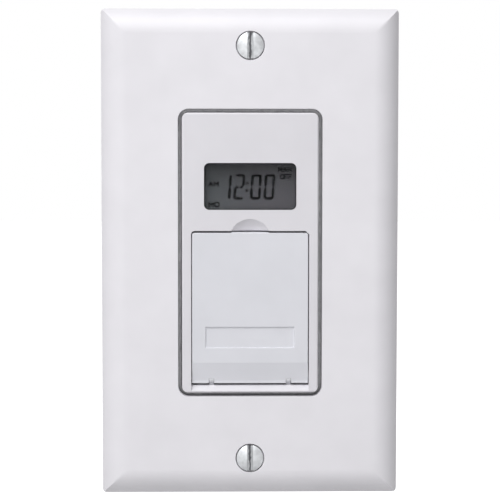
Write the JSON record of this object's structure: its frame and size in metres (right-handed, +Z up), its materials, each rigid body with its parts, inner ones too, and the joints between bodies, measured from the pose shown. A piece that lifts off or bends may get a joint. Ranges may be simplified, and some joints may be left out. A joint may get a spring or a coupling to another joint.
{
  "type": "timer light switch",
  "caption": "White in-wall timer light switch in a one-gang wall plate, with a small display and a hinged door that is pressed for on and off.",
  "frame": {"origin": "midway between the two box screws, on the back of the steel strap, in the wall's plane", "axes": "+X right as seen from the room, +Y into the wall, +Z up"},
  "size_m": [0.0698, 0.0375, 0.1142],
  "materials": {
    "plate_white": "satin",
    "bezel_white": "fine matte",
    "door_white": "fine matte",
    "inner_white": "matte",
    "key_grey": "satin",
    "lens_clear": "clear",
    "lcd_glass": "satin",
    "zinc_steel": "zinc plated",
    "screw_steel": "plated",
    "earth_green": "green plated",
    "pin_steel": "bright",
    "rubber_grey": "matte",
    "switch_black": "matte",
    "reset_red": "satin",
    "board_green": "solder mask",
    "chip_black": "moulded",
    "can_silver": "bright",
    "cell_wrap": "wrapped",
    "contact_gold": "plated",
    "copper_wire": "enamelled",
    "relay_steel": "bright",
    "relay_blue": "moulded",
    "film_red": "dipped",
    "sleeve_dark": "wrapped",
    "varistor_blue": "dipped",
    "housing_grey": "fine matte"
  },
  "bodies": {
    "switch": {"wall_plate": "plate_white", "plate_screws": "screw_steel", "mounting_strap": "zinc_steel", "box_screws": "screw_steel", "earth_screw": "earth_green", "front_housing": "bezel_white", "display_lens": "lens_clear", "lcd_panel": "lcd_glass", "lcd_holder": "inner_white", "zebra_strips": "rubber_grey", "tact_switches": "switch_black", "logic_board": "board_green", "microcontroller": "chip_black", "clock_crystal": "can_silver", "board_screws": "screw_steel", "battery_tray": "inner_white", "battery_cell": "cell_wrap", "battery_sleeve": "inner_white", "positive_contact": "contact_gold", "negative_contact": "contact_gold", "power_board": "board_green", "board_header": "chip_black", "relay_base": "switch_black", "relay_coil": "copper_wire", "relay_yoke": "relay_steel", "relay_contacts": "contact_gold", "relay_cover": "relay_blue", "film_capacitor": "film_red", "electrolytic_capacitor": "sleeve_dark", "varistor": "varistor_blue", "rectifier": "chip_black", "lead_lugs": "contact_gold", "rear_housing": "housing_grey", "housing_screws": "screw_steel"},
    "paddle": {"on_off_paddle": "inner_white", "hinge_pin": "pin_steel", "on_off_plunger": "switch_black"},
    "door": {"door": "door_white"},
    "mode_key": {"mode_key": "key_grey", "mode_plunger": "switch_black"},
    "plus_key": {"plus_key": "key_grey", "plus_plunger": "switch_black"},
    "minus_key": {"minus_key": "key_grey", "minus_plunger": "switch_black"},
    "reset_button": {"reset_plunger": "reset_red"},
    "relay_armature": {"relay_armature": "relay_steel"}
  },
  "joints": [
    {"name": "on_off_press", "type": "hinge", "parent": "switch", "child": "paddle", "pos_m": [0, -0.0024, -0.02973], "axis": [1, 0, 0], "range_deg": [-1, 0], "stiffness_Nm_per_rad": 0.6, "springref_deg": 3.44},
    {"name": "door_open", "type": "hinge", "parent": "paddle", "child": "door", "pos_m": [0, -0.0041, -0.02973], "axis": [1, 0, 0], "range_deg": [0, 105]},
    {"name": "mode_press", "type": "slide", "parent": "switch", "child": "mode_key", "axis": [0, 1, 0], "range_m": [0, 0.0005], "stiffness_N_per_m": 800, "springref_m": -0.0015},
    {"name": "plus_press", "type": "slide", "parent": "switch", "child": "plus_key", "axis": [0, 1, 0], "range_m": [0, 0.0005], "stiffness_N_per_m": 800, "springref_m": -0.0015},
    {"name": "minus_press", "type": "slide", "parent": "switch", "child": "minus_key", "axis": [0, 1, 0], "range_m": [0, 0.0005], "stiffness_N_per_m": 800, "springref_m": -0.0015},
    {"name": "reset_press", "type": "slide", "parent": "switch", "child": "reset_button", "axis": [0, 1, 0], "range_m": [0, 0.0004], "stiffness_N_per_m": 800, "springref_m": -0.0015},
    {"name": "relay_switch", "type": "hinge", "parent": "switch", "child": "relay_armature", "pos_m": [0.0009, 0.0118, 0.0193], "axis": [0, 0, -1], "range_deg": [0, 3.5], "stiffness_Nm_per_rad": 0.05, "springref_deg": -2.86}
  ]
}
